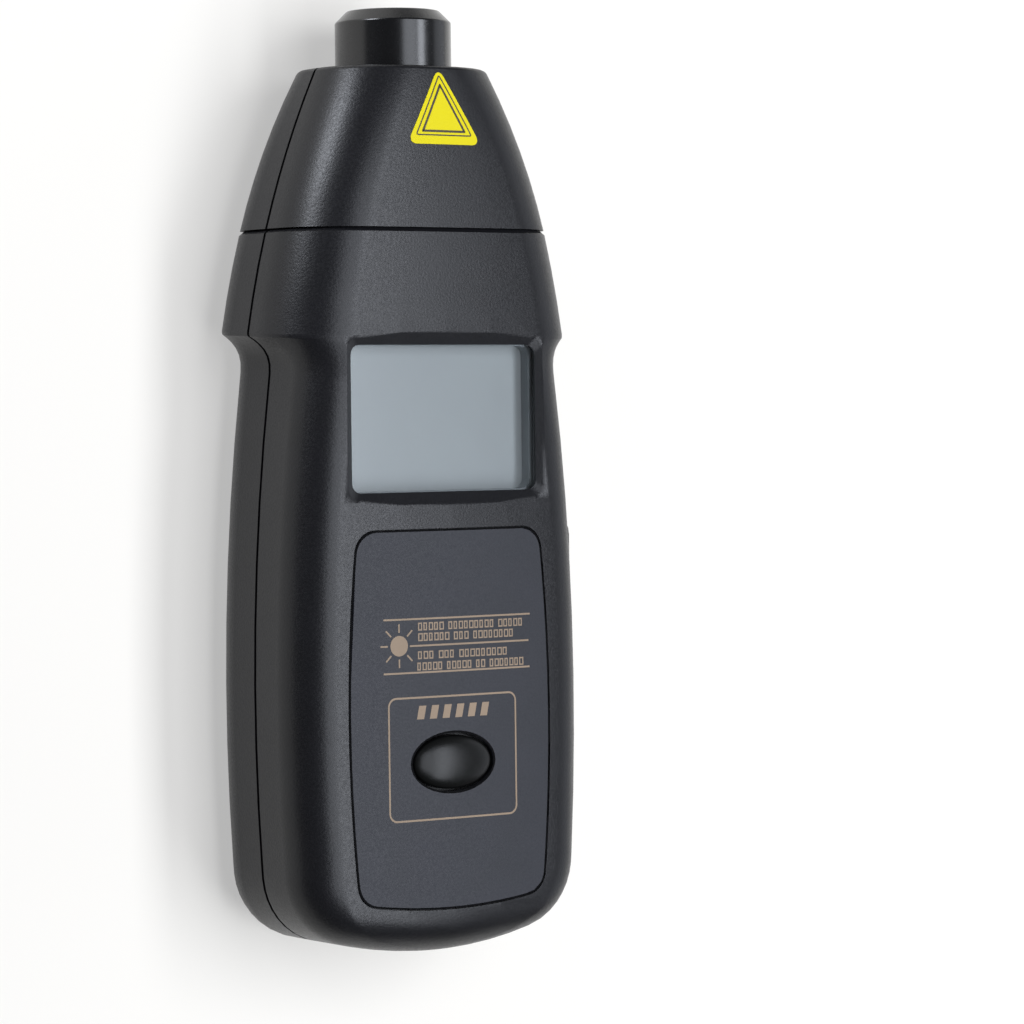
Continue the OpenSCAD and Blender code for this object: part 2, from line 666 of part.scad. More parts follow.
lens_edge = 2;
lens_dome = 1.8;
module front_lens() color("#a8b4ba") along_tube() {
    dome_base = aperture_diameter / 2 - 0.4;
    dome_radius = (dome_base * dome_base + lens_dome * lens_dome) / (2 * lens_dome);
    translate([0, 0, lip_from - lens_edge]) cylinder(r = bore_radius - bore_gap, h = lens_edge, $fn = 96);
    intersection() {
        translate([0, 0, lip_from + lens_dome - dome_radius]) sphere(r = dome_radius, $fn = 96);
        translate([0, 0, lip_from - lens_edge / 2])
            cylinder(r = dome_base, h = lens_edge + lens_dome, $fn = 96);
    }
}
ring_to = lip_from - lens_edge;
ring_from = ring_to - ring_length;
module lens_ring() color("#3a3a3c") difference() {
    tube_bar(0, 2 * (bore_radius - bore_gap), [ring_from, ring_to]);
    tube_bar(0, aperture_diameter, [ring_from - over, ring_to + over]);
}
carrier_from = tube_from + 1;
module optics_carrier() color("#303033") difference() {
    tube_bar(0, 2 * (bore_radius - bore_gap), [carrier_from, ring_from]);
    tube_bar(-optics_spacing / 2, laser_diameter + 2 * bore_gap, [carrier_from - over, ring_from + over]);
    tube_bar(optics_spacing / 2, sensor_diameter + 2 * bore_gap, [carrier_from - over, ring_from + over]);
}
sensor_board_to = carrier_from - 2;
module laser_module() color("#b08d57") difference() {
    tube_bar(-optics_spacing / 2, laser_diameter, [sensor_board_to, ring_from - 1]);
    tube_bar(-optics_spacing / 2, 2.4, [ring_from - 3, ring_from + over]);
}
module light_sensor() color("#3b2b33") {
    tube_bar(optics_spacing / 2, sensor_diameter, [sensor_board_to, carrier_from + 4]);
    along_tube() translate([optics_spacing / 2, 0, carrier_from + 4])
        sphere(d = sensor_diameter - bore_gap, $fn = 48);
}
module sensor_board() color("#2f6b45")
    tube_bar(0, 2 * (bore_radius - 0.4), [sensor_board_to - board_thickness, sensor_board_to]);

// Flat lead from the sensor's board to the main board
ribbon_width = 8;
ribbon = 0.6;
ribbon_lift = 1;
ribbon_end = board_to - 5;
fold_low = joint_at - 8;
fold_high = joint_at + 4;
module sensor_ribbon() color("#c9c4b4") {
    board_back = sensor_board_to - board_thickness;
    z0 = parting_height;
    z1 = board_top;
    translate([ribbon_width / 2, y_end, 0]) rotate([0, -90, 0]) linear_extrude(ribbon_width) polygon([
        [z0, board_back], [z0, fold_high], [z1 + ribbon_lift, fold_low], [z1 + ribbon_lift, ribbon_end],
        [z1, ribbon_end], [z1, ribbon_end - ribbon], [z1 + ribbon_lift + ribbon, ribbon_end - ribbon],
        [z1 + ribbon_lift + ribbon, fold_low + ribbon], [z0 + ribbon, fold_high + ribbon],
        [z0 + ribbon, board_back]]);
}

// Display
module display_window() color("#8f9aa0") at_place(0, display_at, window_bottom)
    rounded_plate(window_width, window_height, display_corner, window_thickness);
// How far the frame stands inside the opening, and the panel outside it, on both sides together
frame_step = 0.4;
lcd_step = 1.2;
lcd_width = display_width + lcd_step;
lcd_height = display_height + lcd_step;
lcd_corner = 0.4;
connector_width = 2.4;
module lcd_frame() color("#26282b") at_place(0, display_at, 0) difference() {
    union() {
        translate([0, 0, board_top]) rounded_plate(window_width + 2 * rim, window_height + 2 * rim,
            display_corner, rim_bottom - board_top);
        translate([0, 0, rim_bottom - over]) rounded_plate(window_width, window_height, display_corner,
            window_bottom - rim_bottom + over);
    }
    translate([0, 0, board_top - over]) rounded_plate(lcd_width + 2 * seat_gap, lcd_height + 2 * seat_gap,
        lcd_corner, lcd_top - board_top + over);
    translate([0, 0, lcd_top - over]) rounded_plate(display_width - frame_step, display_height - frame_step,
        display_corner, lcd_setback + 3 * over);
}
module lcd_panel() color("#9aa3a6") at_place(0, display_at, lcd_bottom)
    rounded_plate(lcd_width, lcd_height, lcd_corner, lcd_thickness);
module lcd_connectors() color("#4a4a4e") for (side = [-1, 1])
    at_place(0, display_at + side * (lcd_height - connector_width - lcd_step / 2) / 2, board_top)
    rounded_plate(lcd_width - 2 * connector_width, connector_width, lcd_corner, connector_height);

// Front panel and buttons
module front_panel() color("#3d3e45") difference() {
    intersection() {
        crown_layer(0, panel_thickness);
        translate([0, 0, case_thickness / 2]) linear_extrude(case_thickness) panel_outline(0);
    }
    at_place(0, memory_at, case_thickness - 2 * wall)
        oval_plate(memory_length + 2 * running_gap, memory_height + 2 * running_gap, 2 * wall + over);
}
switch_height = 3.5;
plunger_height = 1.5;
button_flange = 1.4;
flange_reach = 1.5;
stem_diameter = 4.5;
plunger_diameter = 3.4;
plunger_root = 0.5;
switch_width = 6.2;
// Share of the button's length that the dome's crest keeps
dome_crest = 0.3;
crown_fall = crown_radius - sqrt(pow(crown_radius, 2) - pow(memory_length / 2 + flange_reach, 2));
memory_flange_top = case_thickness - crown_fall - wall - running_gap;
module memory_button() color("#161618") at_place(0, memory_at, 0) {
    // A dome of ovals that draw in as they rise, over the shank that fills the hole
    steps = 7;
    translate([0, 0, memory_flange_top])
        oval_plate(memory_length, memory_height, case_thickness - memory_flange_top);
    hull() for (k = [0:steps])
        let (share = mix(1, dome_crest, 1 - cos(90 * k / steps)), rise = memory_dome * sin(90 * k / steps))
        translate([0, 0, case_thickness - 2 * layer + rise])
        oval_plate(memory_length * share, memory_height * share, layer);
    translate([0, 0, memory_flange_top - button_flange])
        oval_plate(memory_length + 2 * flange_reach, memory_height + 2 * flange_reach, button_flange + layer);
    stem_from = board_top + switch_height + plunger_height;
    translate([0, 0, stem_from]) cylinder(d = stem_diameter, h = memory_flange_top - stem_from, $fn = 32);
}
module memory_switch() color("#2b2d30") at_place(0, memory_at, board_top) difference() {
    rounded_plate(switch_width, switch_width, lcd_corner, switch_height);
    translate([0, 0, switch_height - memory_travel - plunger_root - running_gap])
        cylinder(d = plunger_diameter + 2 * running_gap, h = switch_height, $fn = 32);
}
module memory_plunger() color("#6b6256") at_place(0, memory_at, board_top + switch_height - plunger_root)
    cylinder(d = plunger_diameter, h = plunger_height + plunger_root, $fn = 32);

// The measuring button slides in through the right side wall
// Its flange stays inside the wall, also where the wall's inner edge draws in above the flange's middle
flange_tip = measure_at + measure_length / 2 + flange_reach;
inner_edge = front_edge(flange_tip, wall);
flange_rise = max(0, measure_z + measure_height / 2 + flange_reach - case_thickness + wall + inner_edge);
measure_flange_out = half_width(flange_tip, wall) - running_gap
    - inner_edge + sqrt(pow(inner_edge, 2) - pow(flange_rise, 2));
measure_plunger_out = board_half_width - 0.2;
measure_axis = board_top + 2.4;
measure_top = measure_wall + measure_rise;
measure_bevel = 0.5;
side_plunger = 2.6;
side_switch_length = 5.5;
side_switch_height = 4.5;
// A round bar along X on the measuring button's axis
module side_bar(diameter, x)
    translate([x[0], y_end + measure_at, measure_axis]) rotate([0, 90, 0])
    cylinder(d = diameter, h = x[1] - x[0], $fn = 32);
module measure_button() color("#161618") {
    flange_in = measure_flange_out - button_flange;
    side_stadium(measure_length, measure_height, [flange_in, measure_top - measure_bevel]);
    hull() {
        side_stadium(measure_length, measure_height,
            [measure_top - measure_bevel - layer, measure_top - measure_bevel]);
        side_stadium(measure_length - 2 * measure_bevel, measure_height - 2 * measure_bevel,
            [measure_top - layer, measure_top]);
    }
    side_stadium(measure_length + 2 * flange_reach, measure_height + 2 * flange_reach,
        [flange_in, measure_flange_out]);
    side_bar(side_plunger + running_gap, [measure_plunger_out, measure_flange_out]);
}
measure_switch_out = measure_plunger_out - plunger_height;
module measure_switch() color("#2b2d30") difference() {
    box_between([measure_switch_out - side_switch_length, measure_switch_out],
        [measure_at - switch_width / 2, measure_at + switch_width / 2],
        [board_top, board_top + side_switch_height]);
    side_bar(side_plunger + 2 * running_gap,
        [measure_switch_out - measure_travel - plunger_root - running_gap, measure_plunger_out]);
}
module measure_plunger() color("#6b6256")
    side_bar(side_plunger, [measure_switch_out - plunger_root, measure_plunger_out]);

// Boards
board_step = measure_at - measure_length / 2 - over;
module main_board() color("#2f6b45") difference() {
    union() {
        box_between([-1, 1] * board_waist, [board_from, board_step], [board_bottom, board_top]);
        box_between([-1, 1] * board_half_width, [board_step, board_to], [board_bottom, board_top]);
    }
    for (place = board_fixings) at_place(place[0], place[1], board_bottom - over)
        cylinder(d = small_shank + 2 * screw_gap, h = board_thickness + 2 * over, $fn = 32);
}
// Places of the parts on the board: beside its middle line, and above the memory button
chip_width = 12;
chip_height = 2;
chip_x = -6;
chip_above = 24;
crystal_width = 4.6;
crystal_length = 11;
crystal_height = 3.5;
crystal_x = 8;
crystal_above = 23.5;
capacitor_diameter = 6.3;
capacitor_height = 6;
capacitor_x = 15;
capacitor_above = 19.5;
module microcontroller() color("#1d1e20") at_place(chip_x, memory_at + chip_above, board_top)
    rounded_plate(chip_width, chip_width, lcd_corner, chip_height);
module clock_crystal() color("#c2c4c6") at_place(crystal_x, memory_at + crystal_above, board_top)
    rounded_plate(crystal_width, crystal_length, crystal_width / 2 - layer, crystal_height);
module filter_capacitor() color("#27406b") at_place(capacitor_x, memory_at + capacitor_above, board_top)
    cylinder(d = capacitor_diameter, h = capacitor_height, $fn = 48);

// Screws stop short of the bottom of their bores, and their shanks run into their heads
screw_spare = 0.4;
screw_root = 0.1;
module screw(place, head_level, head, head_height, shank, reach) {
    at_place(place[0], place[1], head_level - head_height) cylinder(d = head, h = head_height, $fn = 32);
    at_place(place[0], place[1], head_level - screw_root)
        cylinder(d = shank, h = screw_root + reach - screw_spare, $fn = 32);
}
module case_screws() color("#9a9ca0") for (place = concat(body_screws, nose_screws))
    screw(place, pocket_level, screw_head, screw_head_height, screw_shank,
        parting_height - pocket_level + screw_bite);
module board_screws() color("#9a9ca0") for (place = board_fixings)
    screw(place, board_bottom, small_head, small_head_height, small_shank, board_thickness + small_bite);

// Power
terminal_height = 2.4;
terminal_diameter = 6;
terminal_x = 6.35;
battery_corner = 2;
snap_inset = 1;
snap_height = 12;
// The battery's two terminals, as pins along Y
module terminals(diameter, at)
    for (side = [-1, 1]) translate([side * terminal_x, y_end + at[0], lead_z]) rotate([-90, 0, 0])
    cylinder(d = diameter, h = at[1] - at[0], $fn = 32);
module battery() color("#8a6a3a") {
    at_place(0, (battery_from + battery_to) / 2, battery_bottom)
        rounded_plate(battery_width, battery_length, battery_corner, battery_thickness);
    terminals(terminal_diameter, [battery_to - screw_root, battery_to + terminal_height]);
}
module battery_snap() color("#1f1f22") difference() {
    box_between([-1, 1] * (battery_width / 2 - snap_inset), [battery_to + running_gap, snap_to],
        [lead_z - snap_height / 2, lead_z + snap_height / 2]);
    terminals(terminal_diameter + 2 * seat_gap, [battery_to, battery_to + terminal_height + running_gap]);
}
lead_bend = 3;
lead_turn = cover_to + 2;
module battery_leads() for (side = [-1, 1]) color(side < 0 ? "#a3231d" : "#1b1b1d")
    translate([side * lead_x, y_end, 0]) {
    translate([0, snap_to, lead_z]) rotate([-90, 0, 0])
        cylinder(d = lead_diameter, h = lead_turn - snap_to, $fn = 24);
    translate([0, lead_turn, lead_z + lead_bend]) rotate([0, 90, 0]) rotate_extrude(angle = 90, $fn = 48)
        translate([lead_bend, 0]) circle(d = lead_diameter, $fn = 24);
    translate([0, lead_turn + lead_bend, lead_z + lead_bend])
        cylinder(d = lead_diameter, h = board_bottom - lead_z - lead_bend, $fn = 24);
}

body_front();
body_rear();
nose_front();
nose_rear();
lens_tube();
front_lens();
lens_ring();
optics_carrier();
laser_module();
light_sensor();
sensor_board();
sensor_ribbon();
display_window();
lcd_frame();
lcd_panel();
lcd_connectors();
front_panel();
memory_button();
memory_switch();
memory_plunger();
measure_button();
measure_switch();
measure_plunger();
main_board();
microcontroller();
clock_crystal();
filter_capacitor();
battery();
battery_snap();
battery_leads();
battery_cover();
case_screws();
board_screws();
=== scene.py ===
from itertools import cycle
import math
import bmesh
import bpy
from mathutils import Matrix, Vector
from mathutils.bvhtree import BVHTree


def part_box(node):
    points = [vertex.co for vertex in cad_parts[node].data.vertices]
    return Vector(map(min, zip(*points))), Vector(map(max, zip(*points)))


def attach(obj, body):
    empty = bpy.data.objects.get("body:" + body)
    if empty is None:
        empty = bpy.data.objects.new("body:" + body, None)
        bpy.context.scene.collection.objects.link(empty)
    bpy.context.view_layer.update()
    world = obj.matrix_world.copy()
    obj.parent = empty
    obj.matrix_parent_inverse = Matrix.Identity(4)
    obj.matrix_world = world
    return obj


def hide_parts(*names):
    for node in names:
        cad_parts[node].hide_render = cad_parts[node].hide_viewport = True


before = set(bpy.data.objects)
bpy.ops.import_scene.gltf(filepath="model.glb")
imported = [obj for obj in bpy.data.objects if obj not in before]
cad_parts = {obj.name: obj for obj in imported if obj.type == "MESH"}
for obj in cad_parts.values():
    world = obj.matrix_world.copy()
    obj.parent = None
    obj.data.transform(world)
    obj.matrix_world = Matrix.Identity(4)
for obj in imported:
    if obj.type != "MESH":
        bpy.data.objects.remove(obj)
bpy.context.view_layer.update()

# Camera
# The instrument lies on its back and the camera looks down on it from its left, with a long lens,
# so that the grip end is at the bottom of the picture as in the photograph.
# Sizes are written in millimetres and used in metres
MM = 0.001
CASE_AXIS = Vector((0, 1, 0))
CAMERA_YAW = math.radians(34.69)
CAMERA_PITCH = math.radians(-0.27)
CAMERA_ROLL = math.radians(0.70)
CAMERA_DISTANCE = 837.9 * MM
# The point of the front that the camera is level with, and how far beside and below it the aim is
LEVEL_POINT = Vector((0, 17.65, 37.17)) * MM
AIM_BESIDE, AIM_BELOW = 12.18 * MM, 24.2 * MM
# The camera itself takes its sensor's width and its focal length in millimetres
SENSOR_WIDTH, FOCAL_LENGTH = 36, 147.25

camera = bpy.data.objects.new("camera", bpy.data.cameras.new("camera"))
bpy.context.scene.collection.objects.link(camera)
camera.data.sensor_width = SENSOR_WIDTH
camera.data.lens = FOCAL_LENGTH
toward = Vector((-math.sin(CAMERA_YAW) * math.cos(CAMERA_PITCH), math.sin(CAMERA_PITCH),
                 math.cos(CAMERA_YAW) * math.cos(CAMERA_PITCH)))
beside = CASE_AXIS.cross(toward).normalized()
stand = LEVEL_POINT + toward * CAMERA_DISTANCE
aim = LEVEL_POINT + beside * AIM_BESIDE - toward.cross(beside) * AIM_BELOW
view = (stand - aim).normalized()
side = CASE_AXIS.cross(view).normalized()
aimed = Matrix((side, view.cross(side), view)).transposed().to_4x4()
camera.matrix_world = Matrix.Translation(stand) @ aimed @ Matrix.Rotation(-CAMERA_ROLL, 4, "Z")
bpy.context.scene.camera = camera

# Case mouldings
# Two halves of the grip case, two halves of the nose and the battery cover, injection moulded in
# charcoal ABS. The tool's spark-eroded skin leaves a fine even grain over every outside face.
# Size of the clouds in which moulded plastic is lighter and darker, and most of a noise's values
CLOUD_SIZE = 9 * MM
NOISE_LOW, NOISE_HIGH = 0.3, 0.7
# Corners this near are one corner, edges this short are dropped, and a place this near is the one meant
WELD, SLIVER, HAIR = 0.002 * MM, 0.001 * MM, 0.02 * MM
# Edges that turn by more than this many degrees stay sharp
CREASE = 32


def linear(code):
    """sRGB hex to the linear colour that a socket takes."""
    parts = [int(code[i:i + 2], 16) / 255 for i in (1, 3, 5)]
    return [p / 12.92 if p <= 0.04045 else ((p + 0.055) / 1.055) ** 2.4 for p in parts] + [1]


def add(tree, kind, inputs=None, **settings):
    """Adds a node, with its settings, and with a value or a link for each named input."""
    made = tree.nodes.new(kind)
    for name, value in settings.items():
        setattr(made, name, value)
    for name, value in (inputs or {}).items():
        if isinstance(value, bpy.types.NodeSocket):
            tree.links.new(value, made.inputs[name])
        else:
            made.inputs[name].default_value = value
    return made


def new_finish(name, **sockets):
    """A material whose Principled sockets are set by name, with underscores for spaces."""
    made = bpy.data.materials.new(name)
    made.use_nodes = True
    shader = made.node_tree.nodes["Principled BSDF"]
    for key, value in sockets.items():
        shader.inputs[key.replace("_", " ")].default_value = value
    return made, made.node_tree, shader


def grained(name, colours, rough, grain_mm, depth_mm, **sockets):
    """A clouded colour, and a grain of a real size and depth that the gloss varies with."""
    made, tree, shader = new_finish(name, **sockets)
    place = add(tree, "ShaderNodeTexCoord").outputs["Object"]
    cloud = add(tree, "ShaderNodeTexNoise", {"Vector": place, "Scale": 1 / CLOUD_SIZE, "Detail": 3.0})
    grain = add(tree, "ShaderNodeTexNoise", {"Vector": place, "Scale": 1 / (grain_mm * MM), "Detail": 2.0})
    dark, light = (linear(colour) for colour in colours)
    tint = add(tree, "ShaderNodeMix", {0: cloud.outputs["Fac"], 6: dark, 7: light}, data_type="RGBA")
    gloss = add(tree, "ShaderNodeMapRange", {"Value": grain.outputs["Fac"], "From Min": NOISE_LOW,
                                             "From Max": NOISE_HIGH, "To Min": rough[0], "To Max": rough[1]})
    bump = add(tree, "ShaderNodeBump", {"Height": grain.outputs["Fac"], "Strength": 1.0,
                                        "Distance": depth_mm * MM})
    tree.links.new(tint.outputs[2], shader.inputs["Base Color"])
    tree.links.new(gloss.outputs[0], shader.inputs["Roughness"])
    tree.links.new(bump.outputs["Normal"], shader.inputs["Normal"])
    return made


def soften(bm, crease):
    """Shades every face smooth, but for the edges that turn by more than crease degrees."""
    for face in bm.faces:
        face.smooth = True
    for edge in bm.edges:
        edge.smooth = len(edge.link_faces) == 2 and edge.calc_face_angle(0) < math.radians(crease)


def place_piece(name, bm, body, materials, node=None, mesh=None):
    """Turns a bmesh into a piece that rides on a body and, where it is one, stands for a node."""
    mesh = mesh or bpy.data.meshes.new(name)
    mesh.materials.clear()
    for material in materials:
        mesh.materials.append(material)
    bm.to_mesh(mesh)
    bm.free()
    piece = bpy.data.objects.new(name, mesh)
    bpy.context.scene.collection.objects.link(piece)
    even = piece.modifiers.new("even_normals", "WEIGHTED_NORMAL")
    even.keep_sharp = True
    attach(piece, body)
    if node:
        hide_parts(node)
    return piece


def from_solid(node, body, material, crease=CREASE):
    """A shown copy of a node's mesh: welded, and smooth but for its creases."""
    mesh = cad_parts[node].data.copy()
    bm = bmesh.new()
    bm.from_mesh(mesh)
    bmesh.ops.remove_doubles(bm, verts=bm.verts, dist=WELD)
    bmesh.ops.dissolve_degenerate(bm, edges=bm.edges, dist=SLIVER)
    for face in bm.faces:
        face.material_index = 0
    soften(bm, crease)
    return place_piece(node + "_shown", bm, body, [material], node, mesh)


# Spark-eroded ABS: a charcoal skin whose fine grain breaks the light up into soft, broad highlights.
# The real grain is about 0.25 mm: it is drawn at 0.45 mm so that it shows at this distance.
spark_abs = grained("spark_eroded_abs", ("#131315", "#18181b"), (0.3, 0.42), 0.45, 0.035,
                    IOR=1.53, Specular_IOR_Level=0.3)
from_solid("nose_rear", "case", spark_abs)
from_solid("battery_cover", "battery_cover", spark_abs)
rear = from_solid("body_rear", "case", spark_abs)
shell = bmesh.new()
shell.from_mesh(rear.data)
# The battery bay's walls run out to the grip's rounded end, and their lower corners are drawn back to it
BAY_END, BAY_FLOOR, ROUNDED_AT = -89.0 * MM, 1.2 * MM, -86.8 * MM
for vert in shell.verts:
    if abs(vert.co.y - BAY_END) < HAIR and vert.co.z < BAY_FLOOR:
        vert.co.y = ROUNDED_AT
# The feet of the head's screw posts meet the rounded side. The outer corners of these thin round feet,
# on the half nearer to the nose, reach out of it and are taken off.
POST_AT, POST_FOOT = Vector((27.17, 40.5)) * MM, 4.5 * MM
POST_OUTER = 3.8 * MM
FOOT_LEVEL, FOOT_DEPTH = 5.41 * MM, 0.16 * MM
proud = []
for vert in shell.verts:
    reach = Vector((abs(vert.co.x), vert.co.y)) - POST_AT
    on_foot = abs(reach.length - POST_FOOT) < HAIR and abs(vert.co.z - FOOT_LEVEL) < FOOT_DEPTH / 2
    if on_foot and reach.x > POST_OUTER and reach.y > -HAIR:
        proud.append(vert)
bmesh.ops.dissolve_verts(shell, verts=proud)
soften(shell, CREASE)
shell.to_mesh(rear.data)
shell.free()
# Painted shade: the bottom of the shadow gap between the halves, and the panel's rolled edge, are drawn in a
# near-black matt plastic, a plain black line that stands in for the shade deep in the gap
painted_gap_shade = grained("painted_shade_black_abs", ("#060607", "#08080a"), (0.8, 0.9), 0.45, 0.01,
                    Specular_IOR_Level=0.1)
# The gap is 0.4 mm wide and starts at the parting plane. It is shown wider, so that it reads as a line.
PARTING, GAP, GAP_SHOWN = 18.5 * MM, 0.4 * MM, 0.8 * MM
for moulding in ("body_front", "nose_front"):
    shown = from_solid(moulding, "case", spark_abs)
    shown.data.materials.append(painted_gap_shade)
    for vert in shown.data.vertices:
        if abs(vert.co.z - PARTING - GAP) < HAIR:
            vert.co.z = PARTING + GAP_SHOWN
    # The faces down in the gap take the painted shade
    for face in shown.data.polygons:
        if all(shown.data.vertices[k].co.z < PARTING + GAP_SHOWN + HAIR for k in face.vertices):
            face.material_index = 1

# Lens tube
# A smooth black tube that stands out of the nose, turned from acetal, with a chamfered rim and a
# stepped bore. The front lens is a coated plano-convex disc held behind its lip.
TUBE_AXIS = Vector((0, -95, 18.5)) * MM
# Radius and distance from the grip end of each corner of the half section: the foot, the flange that
# the nose closes round, the outside up to the chamfered rim, and the lip in front of the bore
TUBE_SECTION = ((9.8, 165), (11.4, 165),
                (11.4, 172.75), (13.2, 172.75), (13.2, 175.25), (11.4, 175.25),
                (11.4, 178.3), (11.8, 178.3), (11.8, 187.6), (9.4, 190), (8.8, 190),
                (8, 189.2), (8, 187), (9.8, 187))
# The rim's turned corners, from here on, are broken by a touch of the file
RIM_FROM, RIM_BREAK = 187.5 * MM, 0.22 * MM
TUBE_STEPS, TURNED_CREASE = 128, 25
tube = bmesh.new()
section = [tube.verts.new(Vector((radius, along, 0)) * MM) for radius, along in TUBE_SECTION]
tube.faces.new(section)
rim = [vert for vert in section if vert.co.y > RIM_FROM]
bmesh.ops.bevel(tube, geom=rim, offset=RIM_BREAK, affect="VERTICES", segments=3, profile=0.5, material=-1)
bmesh.ops.delete(tube, geom=tube.faces[:], context="FACES_ONLY")
bmesh.ops.spin(tube, geom=tube.verts[:] + tube.edges[:], axis=(0, 1, 0), cent=(0, 0, 0), angle=math.tau,
               steps=TUBE_STEPS, use_merge=True)
bmesh.ops.remove_doubles(tube, verts=tube.verts, dist=SLIVER)
bmesh.ops.translate(tube, verts=tube.verts, vec=TUBE_AXIS)
bmesh.ops.recalc_face_normals(tube, faces=tube.faces)
soften(tube, TURNED_CREASE)
# Polished acetal: near black, with one clean narrow streak of light down its side
polished_black = grained("polished_black_acetal", ("#0b0b0d", "#101011"), (0.24, 0.28), 0.9, 0.001, IOR=1.5,
                         Specular_IOR_Level=0.3, Coat_Weight=0.5, Coat_Roughness=0.2)
place_piece("lens_tube_shown", tube, "case", [polished_black], "lens_tube")
# Coated glass, drawn opaque: a dark pupil that is painted shade, the dark bore behind the lens, with a faint
# blue and violet bloom that is the painted reflection of its coating
BLOOM_SIZE = 6 * MM
coated_glass, glass_tree, glass_shader = new_finish(
    "coated_lens_glass", Roughness=0.03, IOR=1.52, Coat_Weight=1.0, Coat_Roughness=0.02, Coat_IOR=1.9)
glass_place = add(glass_tree, "ShaderNodeTexCoord").outputs["Object"]
bloom = add(glass_tree, "ShaderNodeTexNoise", {"Vector": glass_place, "Scale": 1 / BLOOM_SIZE})
# The dark blue to violet base colour is the painted shade and the painted coating reflection
painted_pupil_tint = add(glass_tree, "ShaderNodeMix", {0: bloom.outputs["Fac"], 6: linear("#141a26"),
                                               7: linear("#251c30")}, data_type="RGBA")
glass_tree.links.new(painted_pupil_tint.outputs[2], glass_shader.inputs["Base Color"])
from_solid("front_lens", "case", coated_glass, TURNED_CREASE)

# Display
# A clear acrylic window glued behind the pocket's lip, over a grey liquid crystal panel that stands
# in a grey moulded frame a few millimetres below it.
# Clear acrylic: all but invisible, with a weak sheen that grows as it is seen more aslant
SHEEN_HEAD_ON, SHEEN_ASLANT = 0.025, 0.8
clear_acrylic = bpy.data.materials.new("clear_acrylic")
clear_acrylic.use_nodes = True
acrylic_tree = clear_acrylic.node_tree
acrylic_tree.nodes.remove(acrylic_tree.nodes["Principled BSDF"])
through = add(acrylic_tree, "ShaderNodeBsdfTransparent", {"Color": linear("#f6f8f8")})
sheen = add(acrylic_tree, "ShaderNodeBsdfGlossy", {"Roughness": 0.16})
slant = add(acrylic_tree, "ShaderNodeLayerWeight", {"Blend": 0.5})
rise = add(acrylic_tree, "ShaderNodeMath", {0: slant.outputs["Facing"], 1: 5.0}, operation="POWER")
share = add(acrylic_tree, "ShaderNodeMapRange", {"Value": rise.outputs[0], "To Min": SHEEN_HEAD_ON,
                                                 "To Max": SHEEN_ASLANT})
both = add(acrylic_tree, "ShaderNodeMixShader", {0: share.outputs[0], 1: through.outputs[0],
                                                 2: sheen.outputs[0]})
acrylic_tree.links.new(both.outputs[0], acrylic_tree.nodes["Material Output"].inputs["Surface"])
window = from_solid("display_window", "case", clear_acrylic)
# Sawn acrylic: the sheet's edges are frosted, so they show as a pale band inside the opening. Their pale
# grey is partly painted reflection, the display's light as seen inside the opening
edge_frost_and_reflection = grained("sawn_edge_with_painted_reflection", ("#919598", "#9a9da0"), (0.6, 0.7), 0.3, 0.004, IOR=1.49)
window.data.materials.append(edge_frost_and_reflection)
for face in window.data.polygons:
    face.material_index = 1 if abs(face.normal.z) < 0.5 else 0
# Liquid crystal at rest: an even cool grey with the soft face of its polariser
grey_crystal = grained("grey_liquid_crystal", ("#9e9fa1", "#a2a4a5"), (0.5, 0.55), 0.8, 0.0002, IOR=1.5,
                       Specular_IOR_Level=0.3)
from_solid("lcd_panel", "case", grey_crystal)
# Matt ABS: the wall round the display, a mid-grey step at its right end. Its mid-grey is painted reflection,
# the display's light as seen on this wall
frame_painted_reflection = grained("grey_frame_painted_reflection", ("#868a8e", "#8e9295"), (0.5, 0.58), 0.5, 0.01, IOR=1.53)
from_solid("lcd_frame", "case", frame_painted_reflection)

# Front panel
# A thin blue-grey polycarbonate sheet with a fine matt face, glued into its recess. It is screen
# printed in bronze ink: rules, a sun sign, rows of small marks and a frame round the button.
# Matt polycarbonate: a flat blue-grey, close to the case, that hardly changes with the light
matt_sheet = grained("matt_polycarbonate_sheet", ("#1c1e24", "#22232b"), (0.5, 0.62), 0.4, 0.02, IOR=1.58,
                     Specular_IOR_Level=0.3)
panel = from_solid("front_panel", "case", matt_sheet)
# Its die-cut edge is rolled down into the gap round it and drawn in the black painted shade, so that it
# shows as a dark groove
EDGE_WIDTH, EDGE_DROP = 0.42 * MM, 0.3 * MM
PANEL_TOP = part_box("front_panel")[1].z
CROWN_RADIUS = 400 * MM
SHEET_CREASE = 15
# The sheet and its ink are cut along the case in strips of this width, so that they follow the crown
STRIP_WIDTH = 2.3 * MM
STRIPS = [STRIP_WIDTH * k for k in range(-8, 9)]
CASE_WIDTH = Vector((1, 0, 0))
# A face belongs to the top where its normal rises by more than this
LOOKS_UP = 0.7


def crown(x):
    """The height of the crowned sheet's face at a distance from the middle."""
    return PANEL_TOP - CROWN_RADIUS + math.sqrt(CROWN_RADIUS ** 2 - x ** 2)


def cut_across(bm, direction, places):
    """Cuts a flat shape at places along a direction, so that it can follow a curved face."""
    for place in places:
        bmesh.ops.bisect_plane(bm, geom=bm.verts[:] + bm.edges[:] + bm.faces[:],
                               plane_co=direction * place, plane_no=direction)


panel.data.materials.append(painted_gap_shade)
sheet = bmesh.new()
sheet.from_mesh(panel.data)
upper = [face for face in sheet.faces if face.normal.z > LOOKS_UP]
border = {vert for face in upper for vert in face.verts
          if any(other.normal.z < LOOKS_UP for other in vert.link_faces)}
groove = bmesh.ops.inset_region(sheet, faces=upper, thickness=EDGE_WIDTH, use_boundary=True,
                                use_even_offset=True)["faces"]
